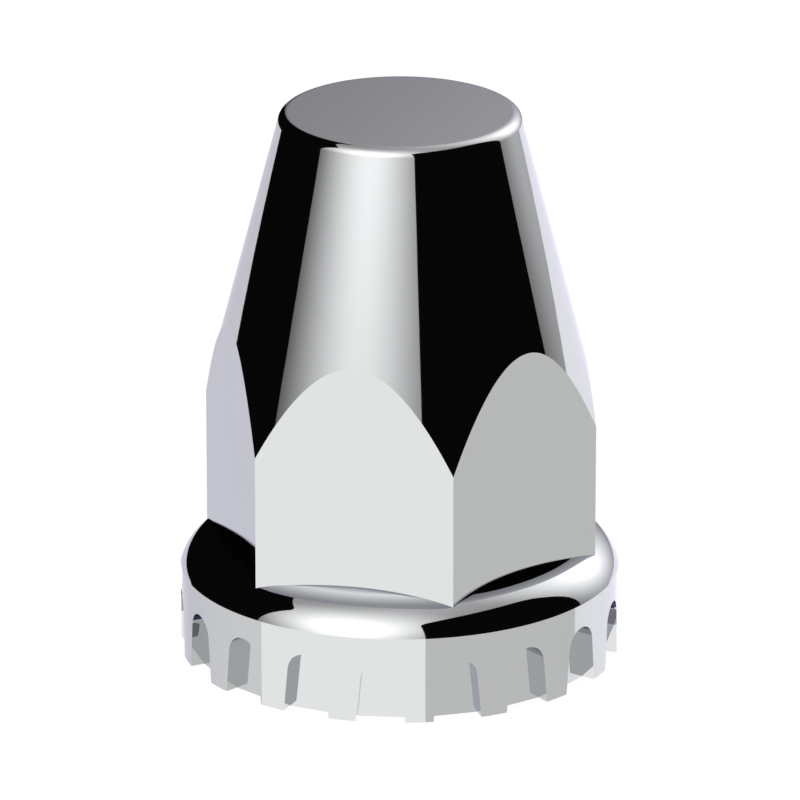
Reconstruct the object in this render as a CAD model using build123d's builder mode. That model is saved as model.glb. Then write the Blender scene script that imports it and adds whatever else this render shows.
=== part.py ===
from build123d import *
import math
import os

# Push-on cover cap for the 33 mm nut of a truck or bus wheel, moulded in one piece.
# The cap slides over the nut and its flange, grips the nut's flats with twelve fins and
# hides the end of the stud. The origin is on the axis, in the plane of the rim, and +Z runs
# up to the closed end. A corner of the hexagon, and the middle of a notch, lie on +X.

# What goes inside
nut_across_flats = 33.0
nut_flange_radius = 23.0
flange_clearance = 0.6        # between the nut's flange and the bore
fin_clearance = 0.05          # between the nut's flats and the fins

# Walls
ring_wall = 1.93              # behind the middle of a notch
roof_wall = 2.2               # between the bore and the top of the dome
side_wall = 1.9
end_wall = 2.4

# Hexagonal body with a conical end
cap_height = 70.0
hexagon_across_flats = 43.6
end_radius = 14.9             # where the cone and the flat end would meet in a sharp edge
end_rounding = 1.4
cone_half_angle = 14.75

# Skirt, and the dome: an arc from the skirt's edge up to a flat top under the hexagon
skirt_height = 11.0
dome_slope = 70.0             # degrees from flat, just above the skirt's edge
dome_arc = 6.0

# Notches: arched recesses in the skirt, with tapered teeth between them
notch_count = 18
notch_depth = 1.97            # from the skirt to the middle of a notch's flat floor
notch_height = 7.95
notch_mouth = 6.12            # width in the plane of the rim
notch_arch_radius = 2.5

# Grip fins, two on each flat of the hexagonal well
fin_thickness = 1.5
fin_spacing = 12.0
fin_length = 24.0
fin_slope = 3.0               # height of the sloped ends that lead the nut in
fin_root = 0.6                # how far a fin's foot is carried into the wall

hexagon_sides = 6
cut_margin = 1.0              # how far a cutting shape runs past what it cuts

# Sizes that follow from the ones above
bore_radius = nut_flange_radius + flange_clearance
notch_floor = bore_radius + ring_wall
skirt_radius = notch_floor + notch_depth
cone_slope = math.tan(math.radians(cone_half_angle))
cone_base_radius = end_radius + cap_height * cone_slope
cone_wall = side_wall / math.cos(math.radians(cone_half_angle))
well_radius = hexagon_across_flats / 2 - side_wall
well_top = cap_height - end_wall
fin_tip = nut_across_flats / 2 + fin_clearance
fin_foot = well_radius + fin_root


def cone_radius(z, wall=0.0):
    """Radius at height z of the cone, or of the inner cone one wall further in."""
    return cone_base_radius - wall - z * cone_slope


# Half section of skirt and dome
with BuildSketch(Plane.XZ) as flange_section:
    with BuildLine():
        skirt_edge = (skirt_radius, skirt_height)
        dome_start = (
            -math.cos(math.radians(dome_slope)),
            math.sin(math.radians(dome_slope)),
        )
        dome = JernArc(skirt_edge, dome_start, dome_arc, dome_slope)
        dome_top = dome @ 1
        Polyline(dome_top, (0, dome_top.Y), (0, 0), (skirt_radius, 0), skirt_edge)
    make_face()

bore_top = dome_top.Y - roof_wall

# Hexagonal body: the cone cuts the flats back in arches, and the flat end has a round edge
with BuildPart() as hexagon_body:
    with BuildSketch(Plane.XY.offset(skirt_height)):
        RegularPolygon(hexagon_across_flats / 2, hexagon_sides, major_radius=False)
    extrude(amount=cap_height - skirt_height)
    with BuildSketch(Plane.XZ) as cone_section:
        with BuildLine():
            Polyline(
                (0, 0),
                (cone_radius(0), 0),
                (cone_radius(cap_height), cap_height),
                (0, cap_height),
                close=True,
            )
        make_face()
        end_corner = cone_section.vertices().group_by(Axis.Y)[-1].sort_by(Axis.X)[-1]
        fillet(end_corner, radius=end_rounding)
    revolve(axis=Axis.Z, mode=Mode.INTERSECT)

# One notch: an arch with leaning sides, cut in to a flat floor
with BuildPart() as notch:
    with BuildSketch(Plane.YZ.offset(notch_floor)):
        with BuildLine():
            Line((-notch_mouth / 2, 0), (notch_mouth / 2, 0))
            CenterArc((0, notch_height - notch_arch_radius), notch_arch_radius, 0, 360)
        make_hull()
    extrude(amount=notch_depth + cut_margin)

# One grip fin on a flat that faces +X, sloped at both ends
with BuildPart() as fin:
    with BuildSketch(Plane.XZ):
        with BuildLine():
            fin_start = skirt_height + roof_wall
            fin_end = fin_start + fin_length
            Polyline(
                (fin_foot, fin_start),
                (fin_tip, fin_start + fin_slope),
                (fin_tip, fin_end - fin_slope),
                (fin_foot, fin_end),
                close=True,
            )
        make_face()
    extrude(amount=fin_thickness / 2, both=True)

# Hexagonal well that follows the body one wall further in, with the fins left standing in it
with BuildPart() as well:
    with BuildSketch(Plane.XY):
        RegularPolygon(well_radius, hexagon_sides, major_radius=False)
    extrude(amount=well_top)
    with BuildSketch(Plane.XZ):
        with BuildLine():
            Polyline(
                (0, 0),
                (cone_radius(0, cone_wall), 0),
                (cone_radius(well_top, cone_wall), well_top),
                (0, well_top),
                close=True,
            )
        make_face()
    revolve(axis=Axis.Z, mode=Mode.INTERSECT)
    with PolarLocations(0, hexagon_sides, start_angle=180 / hexagon_sides):
        with Locations((0, fin_spacing / 2, 0), (0, -fin_spacing / 2, 0)):
            add(fin.part, mode=Mode.SUBTRACT)

# Bore for the nut's flange, with a flat roof one wall under the top of the dome
with BuildPart() as bore:
    with BuildSketch(Plane.XY):
        Circle(bore_radius)
    extrude(amount=bore_top)

# The cap in one piece
with BuildPart() as nut_cover_cap:
    add(flange_section.sketch)
    revolve(axis=Axis.Z)
    add(hexagon_body.part)
    with PolarLocations(0, notch_count):
        add(notch.part, mode=Mode.SUBTRACT)
    add(well.part, mode=Mode.SUBTRACT)
    add(bore.part, mode=Mode.SUBTRACT)

nut_cover_cap.part.label = "nut_cover_cap"
os.makedirs("parts", exist_ok=True)
export_step(nut_cover_cap.part, "parts/nut_cover_cap.step")
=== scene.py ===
# %% [markdown]
# # A chrome cover cap for a wheel nut
# The cap is one plastic moulding with a mirror of chromium on it. A mirror shows every fault of
# the surface that carries it, so this lesson is about two things: a mesh whose curves are fine
# enough to carry clean reflections, and a studio that is worth reflecting.
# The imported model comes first. It fixes where the cap stands and how large it is.

# %% The frame
import math

import bmesh
import bpy
from mathutils import Matrix, Vector


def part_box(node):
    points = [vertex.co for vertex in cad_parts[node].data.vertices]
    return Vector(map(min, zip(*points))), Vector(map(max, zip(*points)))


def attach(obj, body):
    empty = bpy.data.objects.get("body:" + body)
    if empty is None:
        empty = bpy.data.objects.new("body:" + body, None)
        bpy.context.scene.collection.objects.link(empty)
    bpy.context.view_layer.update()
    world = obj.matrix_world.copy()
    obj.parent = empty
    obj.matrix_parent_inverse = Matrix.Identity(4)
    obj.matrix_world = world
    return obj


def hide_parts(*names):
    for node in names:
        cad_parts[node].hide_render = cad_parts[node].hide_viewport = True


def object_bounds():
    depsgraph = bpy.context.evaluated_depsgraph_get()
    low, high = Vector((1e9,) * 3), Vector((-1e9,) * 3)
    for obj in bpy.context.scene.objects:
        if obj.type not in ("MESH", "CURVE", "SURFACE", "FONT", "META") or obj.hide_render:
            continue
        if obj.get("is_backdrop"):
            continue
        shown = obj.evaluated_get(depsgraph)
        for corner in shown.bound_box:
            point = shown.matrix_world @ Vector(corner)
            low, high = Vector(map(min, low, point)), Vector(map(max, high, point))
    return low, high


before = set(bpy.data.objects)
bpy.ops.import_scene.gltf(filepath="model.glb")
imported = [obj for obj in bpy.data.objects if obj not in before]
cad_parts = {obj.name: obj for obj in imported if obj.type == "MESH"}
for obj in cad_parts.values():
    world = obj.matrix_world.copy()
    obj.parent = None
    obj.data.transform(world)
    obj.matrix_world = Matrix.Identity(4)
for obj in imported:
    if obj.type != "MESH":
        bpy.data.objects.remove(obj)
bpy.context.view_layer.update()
print("nodes:", sorted(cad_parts))

# %% [markdown]
# ## Sizes
# The sizes are those of the moulding, written in millimetres as on its drawing. Blender works in
# metres, so every length goes through one factor. The height and the width are read from the
# frame. All the others repeat the imported model's, so that this piece keeps the solid's form and
# only divides it more finely.

# %% Sizes of the moulding
MM = 0.001

cap_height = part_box("nut_cover_cap")[1].z
skirt_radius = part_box("nut_cover_cap")[1].x

hexagon_flat_radius = 21.8 * MM     # from the axis to a flat
end_radius = 14.9 * MM              # where the cone and the flat end would meet
end_rounding = 1.4 * MM
cone_angle = math.radians(14.75)

skirt_height = 11.0 * MM
dome_slope = math.radians(70)       # from flat, just above the skirt's edge
dome_arc = 6.0 * MM

notch_count = 18
notch_depth = 1.97 * MM             # in the middle of a notch, whose floor is flat
notch_height = 7.95 * MM
notch_mouth = 6.12 * MM
notch_arch = 2.5 * MM               # radius of a notch's round top

bore_radius = 23.6 * MM
roof_wall = 2.2 * MM
side_wall = 1.9 * MM
end_wall = 2.4 * MM

fin_tip = 16.55 * MM
fin_thickness = 1.5 * MM
fin_spacing = 12.0 * MM
fin_length = 24.0 * MM
fin_slope = 3.0 * MM
fin_root = 0.6 * MM

print(f"cap {cap_height / MM:.2f} mm tall, skirt {2 * skirt_radius / MM:.2f} mm across")

# %% Values that follow from the sizes
cone_slope = math.tan(cone_angle)
cone_base = end_radius + cap_height * cone_slope
well_flat_radius = hexagon_flat_radius - side_wall
well_top = cap_height - end_wall
notch_floor = skirt_radius - notch_depth
margin = 1.0 * MM                   # how far a cutting shape runs past what it cuts


def cone_radius(z, wall=0.0):
    """Radius of the cone at height z, or of the inner cone one wall further in."""
    return cone_base - wall - z * cone_slope


# %% [markdown]
# ## How fine a mirror has to be
# The photograph's camera sees about 8 pixels to the millimetre. Half a degree between two
# neighbouring faces puts the joints of the widest ring 0.24 mm apart, and smooth shading hides
# what is left. The small arcs are divided by angle as well, so that no two faces that belong to
# one curve differ by more than a few degrees, and every real edge differs by more than that.

# %% Fineness
turn_steps = 720
arc_step = math.radians(2.5)        # between two points of an outline's arc
sharp_angle = math.radians(9)       # between two faces, from where an edge is a real one
merge_distance = 0.0005 * MM


def arc_points(centre, radius, start, end):
    """Points (r, z) on an arc, from one angle to the other, both included."""
    steps = max(2, round(abs(end - start) / arc_step))
    angles = [start + (end - start) * i / steps for i in range(steps + 1)]
    return [(centre[0] + radius * math.cos(a), centre[1] + radius * math.sin(a)) for a in angles]


# %% [markdown]
# ## Shapes that are turned
# Cone, dome and bore are all surfaces of revolution. Each starts as an outline of radius and
# height, which one full spin turns about the axis. The two flat ends are closed with a single
# face each: a fan of triangles would meet in a pole, and nothing is gained by that on a flat.

# %% Turning an outline
def close_holes(bm):
    """Fills every open loop with one flat face."""
    open_edges = [edge for edge in bm.edges if edge.is_boundary]
    bmesh.ops.holes_fill(bm, edges=open_edges, sides=0)


def turned(outline):
    """A closed solid of revolution from points (radius, height)."""
    bm = bmesh.new()
    verts = [bm.verts.new((r, 0, z)) for r, z in outline]
    edges = [bm.edges.new(pair) for pair in zip(verts, verts[1:])]
    bmesh.ops.spin(
        bm, geom=verts + edges, cent=(0, 0, 0), axis=(0, 0, 1), angle=math.tau,
        steps=turn_steps, use_merge=True,
    )
    close_holes(bm)
    bmesh.ops.recalc_face_normals(bm, faces=bm.faces)
    return bm


def as_object(bm, name):
    """Turns a bmesh into an object of the scene."""
    mesh = bpy.data.meshes.new(name)
    bm.to_mesh(mesh)
    bm.free()
    obj = bpy.data.objects.new(name, mesh)
    bpy.context.scene.collection.objects.link(obj)
    print(f"{name}: {len(mesh.vertices)} points, {len(mesh.polygons)} faces")
    return obj


# %% [markdown]
# ## The hexagonal body
# On the real cap, six flats run up until the cone cuts them back in arches. A cone that is sliced
# by six planes gives just that edge, with no arch to draw. bisect_plane slices and drops what lies
# outside, and the cut is closed with one flat face, which mirrors like a pane of glass.
# The well inside follows the body one wall further in, so the same function makes both.

# %% Slicing a turned shape into a hexagon
def slice_hexagon(bm, flat_radius):
    """Cuts six flats, with a corner of the hexagon on +X."""
    for i in range(6):
        turn = math.radians(30 + 60 * i)
        outward = Vector((math.cos(turn), math.sin(turn), 0))
        bmesh.ops.bisect_plane(
            bm, geom=bm.verts[:] + bm.edges[:] + bm.faces[:], dist=merge_distance,
            plane_co=outward * flat_radius, plane_no=outward, clear_outer=True,
        )
        close_holes(bm)
    bmesh.ops.recalc_face_normals(bm, faces=bm.faces)
    return bm


# The round edge touches the flat end and the cone, and this is the centre of its arc
edge_centre = (
    end_radius - end_rounding * math.tan((math.pi / 2 - cone_angle) / 2),
    cap_height - end_rounding,
)
rounded_edge = arc_points(edge_centre, end_rounding, cone_angle, math.pi / 2)
body_outline = [(cone_radius(skirt_height), skirt_height)] + rounded_edge
body = as_object(slice_hexagon(turned(body_outline), hexagon_flat_radius), "hexagonal_body")

# %% [markdown]
# ## The flange
# Under the hexagon the flange swells out in a dome. Its arc starts 20 degrees short of the
# vertical, so that it meets the skirt in a crisp edge, and runs out level where the flats stand.

# %% Turning the flange
dome_centre = (
    skirt_radius - dome_arc * math.sin(dome_slope),
    skirt_height - dome_arc * math.cos(dome_slope),
)
dome = arc_points(dome_centre, dome_arc, math.pi / 2 - dome_slope, math.pi / 2)
flange = as_object(turned([(skirt_radius, 0)] + dome), "flange")
bore_top = dome_centre[1] + dome_arc - roof_wall

# %% [markdown]
# ## The notches
# Eighteen arched notches are cut into the skirt, each down to a flat floor, as a milled pocket
# would be. One cutter is drawn as an arch with leaning sides and given the notch's depth. A spin
# copies it round. The flat floors matter: a floor bent with the skirt would mirror the notch's
# side wall as a wider band than the photograph shows.

# %% One notch cutter, drawn flat
arch_centre = notch_height - notch_arch
mouth_reach = math.hypot(notch_mouth / 2, arch_centre)
side_lean = math.atan2(notch_mouth / 2, arch_centre) - math.asin(notch_arch / mouth_reach)
low_reach = notch_mouth / 2 + margin * math.tan(side_lean)


def notch_sheet():
    """The notch's outline as one flat face across +X."""
    bm = bmesh.new()
    start = bm.verts.new((
        notch_floor,
        notch_arch * math.cos(side_lean),
        arch_centre + notch_arch * math.sin(side_lean),
    ))
    sweep = math.pi - 2 * side_lean
    bmesh.ops.spin(
        bm, geom=[start], cent=(notch_floor, 0, arch_centre), axis=(1, 0, 0), angle=sweep,
        steps=round(sweep / arc_step),
    )
    left, right = sorted((v for v in bm.verts if len(v.link_edges) == 1), key=lambda v: v.co.y)
    low_left = bm.verts.new((notch_floor, -low_reach, -margin))
    low_right = bm.verts.new((notch_floor, low_reach, -margin))
    for pair in ((left, low_left), (low_left, low_right), (low_right, right)):
        bm.edges.new(pair)
    bmesh.ops.contextual_create(bm, geom=bm.edges[:])
    return bm


# %% All notch cutters
cutter = notch_sheet()
sides = bmesh.ops.extrude_face_region(cutter, geom=cutter.faces[:])
moved = [v for v in sides["geom"] if isinstance(v, bmesh.types.BMVert)]
bmesh.ops.translate(cutter, vec=(notch_depth + margin, 0, 0), verts=moved)
bmesh.ops.recalc_face_normals(cutter, faces=cutter.faces)
bmesh.ops.spin(
    cutter, geom=cutter.verts[:] + cutter.edges[:] + cutter.faces[:], cent=(0, 0, 0),
    axis=(0, 0, 1), angle=math.tau * (notch_count - 1) / notch_count, steps=notch_count - 1,
    use_duplicate=True,
)
notches = as_object(cutter, "notch_cutters")

# %% [markdown]
# ## The hollow inside
# The mould's core leaves a bore for the nut's flange and a hexagonal well above it. Twelve thin
# fins stand in the well and grip the nut. They are slots in the core, so they are cut out of the
# well's shape before that is cut out of the cap.

# %% Bore and well
bore = as_object(turned([(bore_radius, -margin), (bore_radius, bore_top)]), "bore_core")

cone_wall = side_wall / math.cos(cone_angle)
well_outline = [
    (cone_radius(-margin, cone_wall), -margin),
    (cone_radius(well_top, cone_wall), well_top),
]
well = as_object(slice_hexagon(turned(well_outline), well_flat_radius), "well_core")


# %% [markdown]
# ## Grip fins
# Two fins stand on each flat of the well. One pair is made on +X, turned to its flat, and copied
# five times by a spin. Their sloped ends lead the nut in.

# %% Grip fins
def fin_slots():
    """Twelve slots in the core, two on each flat, sloped at both ends."""
    foot = well_flat_radius + fin_root
    start = skirt_height + roof_wall
    bm = bmesh.new()
    corners = (
        (foot, start),
        (fin_tip, start + fin_slope),
        (fin_tip, start + fin_length - fin_slope),
        (foot, start + fin_length),
    )
    for side in (-1, 1):
        middle = side * fin_spacing / 2
        verts = [bm.verts.new((x, middle - fin_thickness / 2, z)) for x, z in corners]
        face = bmesh.ops.contextual_create(bm, geom=verts)["faces"]
        thick = bmesh.ops.extrude_face_region(bm, geom=face)
        far_side = [v for v in thick["geom"] if isinstance(v, bmesh.types.BMVert)]
        bmesh.ops.translate(bm, vec=(0, fin_thickness, 0), verts=far_side)
    bmesh.ops.recalc_face_normals(bm, faces=bm.faces)
    to_flat = Matrix.Rotation(math.radians(30), 3, "Z")
    bmesh.ops.rotate(bm, cent=(0, 0, 0), matrix=to_flat, verts=bm.verts)
    bmesh.ops.spin(
        bm, geom=bm.verts[:] + bm.edges[:] + bm.faces[:], cent=(0, 0, 0), axis=(0, 0, 1),
        angle=math.radians(300), steps=5, use_duplicate=True,
    )
    return bm


fins = as_object(fin_slots(), "fin_slots")

# %% [markdown]
# ## Putting it together
# Boolean modifiers join body and flange and cut the rest away. Each is applied at once, and its
# tool is thrown away, so that one closed mesh is left, as the real cap is one moulding.

# %% Joining and cutting
def combine(target, tool, operation):
    """Applies one boolean to the target's mesh and removes the tool."""
    modifier = target.modifiers.new(operation.lower(), "BOOLEAN")
    modifier.operation = operation
    modifier.solver = "EXACT"
    modifier.object = tool
    graph = bpy.context.evaluated_depsgraph_get()
    result = bpy.data.meshes.new_from_object(target.evaluated_get(graph))
    target.modifiers.clear()
    target.data = result
    bpy.data.objects.remove(tool)
    print(f"{operation.lower()} {target.name}: {len(result.polygons)} faces")


combine(well, fins, "DIFFERENCE")
combine(flange, notches, "DIFFERENCE")
combine(flange, body, "UNION")
combine(flange, well, "DIFFERENCE")
combine(flange, bore, "DIFFERENCE")
cap = flange
cap.name = "plated_cap"
cap.data.name = "plated_cap"


# %% [markdown]
# ## Smooth and crisp
# All faces are shaded smooth, which hides the joints within a curve. An edge stays crisp where its
# two faces meet at more than the sharp angle, as the plating there still shows a hard line.

# %% Smooth faces and crisp edges
def finish_surface(obj):
    """Merges stray points, shades curves smooth and keeps the real edges sharp."""
    bm = bmesh.new()
    bm.from_mesh(obj.data)
    bmesh.ops.remove_doubles(bm, verts=bm.verts, dist=merge_distance)
    for face in bm.faces:
        face.smooth = True
    for edge in bm.edges:
        edge.smooth = edge.is_manifold and edge.calc_face_angle() < sharp_angle
    open_count = sum(not edge.is_manifold for edge in bm.edges)
    print(f"{obj.name}: open edges {open_count}, volume {bm.calc_volume() / MM**3:.0f} mm3")
    bm.to_mesh(obj.data)
    bm.free()


finish_surface(cap)


# %% [markdown]
# ## Colours and nodes
# Colours are written as the hex codes that a picture editor shows. The renderer reckons in linear
# light, so one function turns a code into linear values. A second one adds a node, sets it and
# links it, which leaves only what differs in the materials below.

# %% Colour and node helpers
def colour(code):
    """Linear colour from an sRGB hex code."""
    parts = [int(code[i:i + 2], 16) / 255 for i in (1, 3, 5)]
    linear = [c / 12.92 if c <= 0.04045 else ((c + 0.055) / 1.055) ** 2.4 for c in parts]
    return (*linear, 1.0)


def add(tree, kind, links=None, **settings):
    """Adds a node, sets its inputs or properties by name, and links its inputs."""
    node = tree.nodes.new(kind)
    for name, value in settings.items():
        if hasattr(node, name):
            setattr(node, name, value)
        else:
            node.inputs[name.replace("_", " ")].default_value = value
    for name, source in (links or {}).items():
        tree.links.new(source, node.inputs[name])
    return node


# %% [markdown]
# ## The chrome
# The real cap is moulded in ABS and plated with copper, nickel and a last skin of chromium. The
# chromium gives back light evenly over all colours and only a little bluer where the surface
# turns away. So the base is a neutral grey, and the tint adds the blue. The grey is darker than
# chromium alone. With it, places that are mirrored twice come out as dark as in the photograph.
# The copper levels the plastic like a varnish. Two traces stay on such parts: a shallow waviness
# some millimetres long, here in the bump, and a patchy haze from the last polish, here in the
# roughness. How strong they are is guessed, and they hardly show from the photograph's distance.

# %% Chrome
chrome = bpy.data.materials.new("bright_chrome_on_moulded_abs")
chrome.use_nodes = True
tree = chrome.node_tree
shader = tree.nodes["Principled BSDF"]
chrome_grey = "#B2B3B4"
shader.inputs["Base Color"].default_value = colour(chrome_grey)
shader.inputs["Metallic"].default_value = 1.0
shader.inputs["Specular Tint"].default_value = colour("#DCDCE5")

place = add(tree, "ShaderNodeTexCoord").outputs["Object"]
wave_length = 7.0 * MM              # of the moulding's waviness
wave_height = 0.01 * MM
wave = add(tree, "ShaderNodeTexNoise", {"Vector": place}, Scale=1 / wave_length, Detail=1.0)
bump = add(tree, "ShaderNodeBump", {"Height": wave.outputs[0]}, Strength=1.0, Distance=wave_height)
tree.links.new(bump.outputs["Normal"], shader.inputs["Normal"])

haze_patch = 1.6 * MM               # size of the polish's patches
least_haze = 0.01
most_haze = 0.05
haze = add(tree, "ShaderNodeTexNoise", {"Vector": place}, Scale=1 / haze_patch, Detail=3.0)
polish = add(tree, "ShaderNodeMapRange", {"Value": haze.outputs[0]})
polish.inputs["To Min"].default_value = least_haze
polish.inputs["To Max"].default_value = most_haze
tree.links.new(polish.outputs[0], shader.inputs["Roughness"])

cap.data.materials.clear()
cap.data.materials.append(chrome)
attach(cap, "root")
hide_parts("nut_cover_cap")
print(f"chrome gives back {100 * colour(chrome_grey)[1]:.0f} % of the light")

# %% [markdown]
# ## The camera
# The photograph looks down on the cap at 20 degrees, 15 degrees to the side of a corner of the
# hexagon. Its upright edges hardly converge, so the lens is long and stands a metre away.

# %% Camera
def heading(turn):
    """World direction of a turn to the right, in degrees, from where the camera stands."""
    angle = math.radians(camera_azimuth + turn)
    return Vector((math.sin(angle), -math.cos(angle), 0))


camera_azimuth = 15
camera_elevation = math.radians(20.067)
camera_distance = 1049.3 * MM
camera_target = Vector((0, 0, 32.17 * MM))
toward_camera = heading(0) * math.cos(camera_elevation) + Vector((0, 0, math.sin(camera_elevation)))
camera_data = bpy.data.cameras.new("camera")
camera_data.sensor_width = 36
camera_data.lens = 379.0
camera_data.clip_start = 10 * MM
camera = bpy.data.objects.new("camera", camera_data)
camera.location = camera_target + toward_camera * camera_distance
camera.rotation_euler = toward_camera.to_track_quat("Z", "Y").to_euler()
bpy.context.scene.collection.objects.link(camera)
bpy.context.scene.camera = camera
print(f"camera {camera_distance:.2f} m away, lens {camera_data.lens:.0f} mm")

# %% [markdown]
# ## A tent of light
# Chrome has no picture of its own, it shows the room. Such things are photographed in a tent of
# white cloth, with black boards where an edge should stand out. The photograph can be read
# backwards, because each point of the cap mirrors one spot of that room: the flats show the lower
# walls, the cone and the dome show soft pools of light above, and the black bands read as two
# tall boards with round corners. The size of the tent was fitted until the edges of the boards
# landed where the photograph has them.
# Only mirror rays see the tent. The camera and the floor would gain nothing from it.

# %% Sizes of the light tent
tent_turn = -31.5                   # degrees, from the camera to the middle of the front wall
tent_half = 880 * MM
tent_shift = -13 * MM               # to the left
tent_top = 1582 * MM
wall_split = -56 * MM               # where the lower walls begin
tent_bottom = -1500 * MM
board_corner = 210 * MM
corner_steps = 16
board_gap = 105 * MM                # between the left wall and the board before it
left_board_low = -52 * MM


def stage_piece(bm, name, materials):
    """Makes a piece of the studio that only mirrors can see."""
    turn = Matrix.Rotation(math.radians(camera_azimuth + tent_turn - 90), 3, "Z")
    bmesh.ops.rotate(bm, cent=(0, 0, 0), matrix=turn, verts=bm.verts)
    obj = as_object(bm, name)
    for material in materials:
        obj.data.materials.append(material)
    obj.visible_camera = False
    obj.visible_diffuse = False
    obj.visible_shadow = False
    obj.visible_transmission = False
    obj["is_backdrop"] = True
    return obj


# %% [markdown]
# ## Walls that glow
# Each lower wall has one brightness, which shows as one even tone on a flat of the cap. A hex code
# here is the tone that the photograph shows. The chrome swallows half of the light, so the wall is
# made brighter by the same share. The back wall fades from left to right.

# %% Plain glowing surfaces
reflectance = colour(chrome_grey)[1]
fade_start = -0.3                   # of half the tent's width, from its middle to the right


def glow(name, code, end_code=None):
    """A surface that shows a given colour, or two from left to right, when seen in the chrome."""
    material = bpy.data.materials.new(name)
    material.use_nodes = True
    tree = material.node_tree
    tree.nodes.clear()
    light = add(tree, "ShaderNodeEmission", Color=colour(code), Strength=1 / reflectance)
    add(tree, "ShaderNodeOutputMaterial", {"Surface": light.outputs["Emission"]})
    if end_code:
        place = add(tree, "ShaderNodeTexCoord")
        across = add(
            tree, "ShaderNodeVectorMath", {0: place.outputs["Object"]}, operation="DOT_PRODUCT",
        )
        across.inputs[1].default_value = heading(tent_turn + 90)
        part = add(tree, "ShaderNodeMapRange", {"Value": across.outputs["Value"]})
        part.inputs["From Min"].default_value = fade_start * tent_half
        part.inputs["From Max"].default_value = tent_half
        grade = add(tree, "ShaderNodeValToRGB", {0: part.outputs[0]})
        grade.color_ramp.elements[0].color = colour(code)
        grade.color_ramp.elements[1].color = colour(end_code)
        tree.links.new(grade.outputs["Color"], light.inputs["Color"])
    return material


# %% [markdown]
# ## Pools of light on the cloth
# The pools are painted light: the cloth glows brighter where two lamps outside would light it, one
# over the camera's left and one behind. Each painted pool is brightest in its middle and fades out
# with the angle. A third, weak one stands overhead and reaches down all sides, so that the cloth
# between the pools never gets dark.
# Their values were fitted to the tones of the cone, the dome and the flat end. Strength has no
# upper limit here, as on a real lamp, so the middle of a pool burns out to white.

# %% Pools of light
white_cloth = bpy.data.materials.new("white_tent_cloth")
white_cloth.use_nodes = True
tree = white_cloth.node_tree
tree.nodes.clear()
place = add(tree, "ShaderNodeTexCoord")
pool_eye = 60 * MM                  # height over the origin from which a pool's angles count


def pool(turn, rise, peak, reach, falloff, tall):
    """A painted pool of light in the cloth's glow. Turn, rise and reach are degrees, tall stretches
    it.
    """
    own = add(
        tree, "ShaderNodeMapping", {"Vector": place.outputs["Object"]}, vector_type="TEXTURE",
        Location=(0, 0, pool_eye),
        Rotation=(0, math.radians(-rise), math.radians(camera_azimuth + turn - 90)),
        Scale=(1, 1 / tall, tall),
    )
    unit = add(tree, "ShaderNodeVectorMath", {0: own.outputs[0]}, operation="NORMALIZE")
    axis = add(tree, "ShaderNodeSeparateXYZ", {0: unit.outputs[0]})
    angle = add(tree, "ShaderNodeMath", {0: axis.outputs["X"]}, operation="ARCCOSINE")
    fade = add(tree, "ShaderNodeMapRange", {"Value": angle.outputs[0]})
    fade.inputs["From Max"].default_value = math.radians(reach)
    fade.inputs["To Min"].default_value = 1
    fade.inputs["To Max"].default_value = 0
    soft = add(tree, "ShaderNodeMath", {0: fade.outputs[0]}, operation="POWER")
    soft.inputs[1].default_value = falloff
    light = add(tree, "ShaderNodeMath", {0: soft.outputs[0]}, operation="MULTIPLY")
    light.inputs[1].default_value = peak / reflectance
    return light.outputs[0]


front_pool = pool(turn=-28.4, rise=33.1, peak=1.443, reach=56.0, falloff=1.283, tall=0.994)
back_pool = pool(turn=139.3, rise=24.5, peak=1.377, reach=51.3, falloff=1.565, tall=1.018)
overhead = pool(turn=-16.7, rise=86.8, peak=0.429, reach=287.3, falloff=4.027, tall=0.948)
both = add(tree, "ShaderNodeMath", {0: front_pool, 1: back_pool}, operation="ADD")
total = add(tree, "ShaderNodeMath", {0: both.outputs[0], 1: overhead}, operation="ADD")
light = add(tree, "ShaderNodeEmission", {"Strength": total.outputs[0]}, Color=colour("#FFFFFF"))
add(tree, "ShaderNodeOutputMaterial", {"Surface": light.outputs["Emission"]})

# %% [markdown]
# ## Walls
# The tent is a box seen from inside, cut in two a little under the cap's foot: cloth above, plain
# walls below, and a dark floor that mainly the undersides of the notches mirror.

# %% The tent
bm = bmesh.new()
bmesh.ops.create_cube(bm, size=2)
bmesh.ops.scale(bm, vec=(tent_half, tent_half, (tent_top - tent_bottom) / 2), verts=bm.verts)
bmesh.ops.translate(bm, vec=(0, tent_shift, (tent_top + tent_bottom) / 2), verts=bm.verts)
bmesh.ops.bisect_plane(
    bm, geom=bm.verts[:] + bm.edges[:] + bm.faces[:], dist=merge_distance,
    plane_co=(0, 0, wall_split), plane_no=(0, 0, 1),
)
bmesh.ops.reverse_faces(bm, faces=bm.faces)
lower = {(1, 0): 1, (0, 1): 2, (-1, 0): 3, (0, -1): 4}      # front, right, back, left
for face in bm.faces:
    middle = face.calc_center_median()
    side = (round(middle.x / tent_half), round((middle.y - tent_shift) / tent_half))
    if middle.z < tent_bottom * 0.99:
        face.material_index = 5
    elif middle.z < wall_split:
        face.material_index = lower[side]
stage_piece(bm, "light_tent", [
    white_cloth,
    glow("front_skirt", "#E2E3E2"),
    glow("right_skirt", "#B8B8B7"),
    glow("back_skirt", "#EDEDEE", "#D9D9DA"),
    glow("left_skirt", "#C7C7C8"),
    glow("tent_floor", "#4B4D64"),
])

# %% [markdown]
# ## Boards
# A board is a flat sheet with its two upper corners rounded off. The right board leans on its
# wall. The left one stands 10 cm before its own: the dome mirrors it twice, once directly and once
# by way of a flat, and the gap brings both pictures near to the photograph's.

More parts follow.
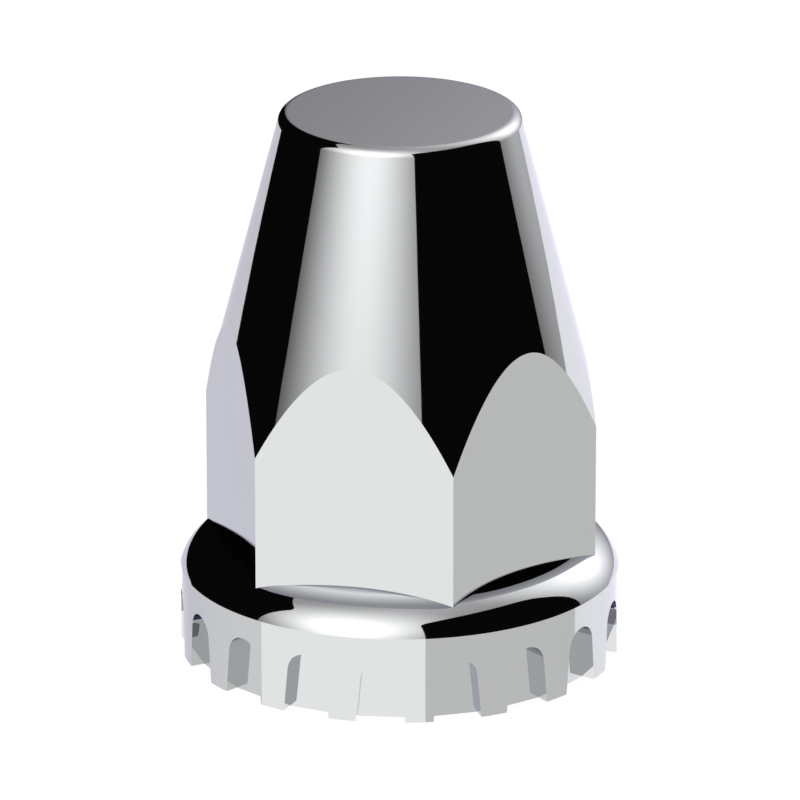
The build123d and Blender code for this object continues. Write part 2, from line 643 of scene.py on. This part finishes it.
# %% Black boards
def board(y, back, front, low, high, corner):
    """An upright board with round upper corners, along the right or left wall."""
    bm = bmesh.new()
    bmesh.ops.create_grid(bm, x_segments=1, y_segments=1, size=1)
    upright = Matrix.Rotation(math.radians(90), 3, "X")
    bmesh.ops.rotate(bm, cent=(0, 0, 0), matrix=upright, verts=bm.verts)
    bmesh.ops.scale(bm, vec=((front - back) / 2, 1, (high - low) / 2), verts=bm.verts)
    bmesh.ops.translate(bm, vec=((front + back) / 2, y, (high + low) / 2), verts=bm.verts)
    top = [v for v in bm.verts if v.co.z > 0]
    bmesh.ops.bevel(
        bm, geom=top, offset=corner, affect="VERTICES", segments=corner_steps, profile=0.5,
        material=-1,
    )
    return bm


black = glow("black_board", "#060606")
right = board(
    y=tent_shift + tent_half - 1 * MM, back=-tent_half, front=tent_half, low=wall_split,
    high=tent_top, corner=board_corner,
)
stage_piece(right, "right_board", [black])
nearer = 1 - board_gap / (tent_half - tent_shift)
left = board(
    y=tent_shift - tent_half + board_gap, back=-tent_half, front=tent_half * nearer,
    low=left_board_low * nearer, high=tent_top * nearer, corner=board_corner * nearer,
)
stage_piece(left, "left_board", [black])

# %% [markdown]
# ## The white ground
# The cap stands on a sweep of paper that is lit to full white, with no shadow left on it. Light of
# its own stands in for the strong lamps, and the grey base keeps the cap's shadow from showing.
# The photograph's cap mirrors none of the paper, so mirror rays pass through it.

# %% Floor and background
bm = bmesh.new()
paper_radius = 20                   # metres, far past the picture
paper_sides = 96
paper_gap = 0.05 * MM               # keeps the paper out of the plane of the rim
paper_light = 0.97
bmesh.ops.create_circle(bm, cap_ends=True, radius=paper_radius, segments=paper_sides)
bmesh.ops.translate(bm, vec=(0, 0, -paper_gap), verts=bm.verts)
floor = as_object(bm, "floor")
paper = bpy.data.materials.new("white_paper_sweep")
paper.use_nodes = True
shader = paper.node_tree.nodes["Principled BSDF"]
shader.inputs["Base Color"].default_value = colour("#404040")
shader.inputs["Roughness"].default_value = 0.9
shader.inputs["Specular IOR Level"].default_value = 0.0
shader.inputs["Emission Color"].default_value = colour("#FFFFFF")
shader.inputs["Emission Strength"].default_value = paper_light
floor.data.materials.append(paper)
floor.visible_glossy = False
floor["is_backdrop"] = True

world = bpy.data.worlds.new("studio")
world.use_nodes = True
bpy.context.scene.world = world
background = world.node_tree.nodes["Background"]
background.inputs["Color"].default_value = colour("#FFFFFF")
background.inputs["Strength"].default_value = 1.0
bpy.context.scene.view_settings.view_transform = "Standard"

# %% [markdown]
# The box around the finished piece is printed, in millimetres. The finished piece has to
# stay inside the box of the imported model.

low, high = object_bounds()
for name, corner in (("low", low), ("high", high)):
    print(name, "corner in mm:", [round(value / MM, 3) for value in corner])
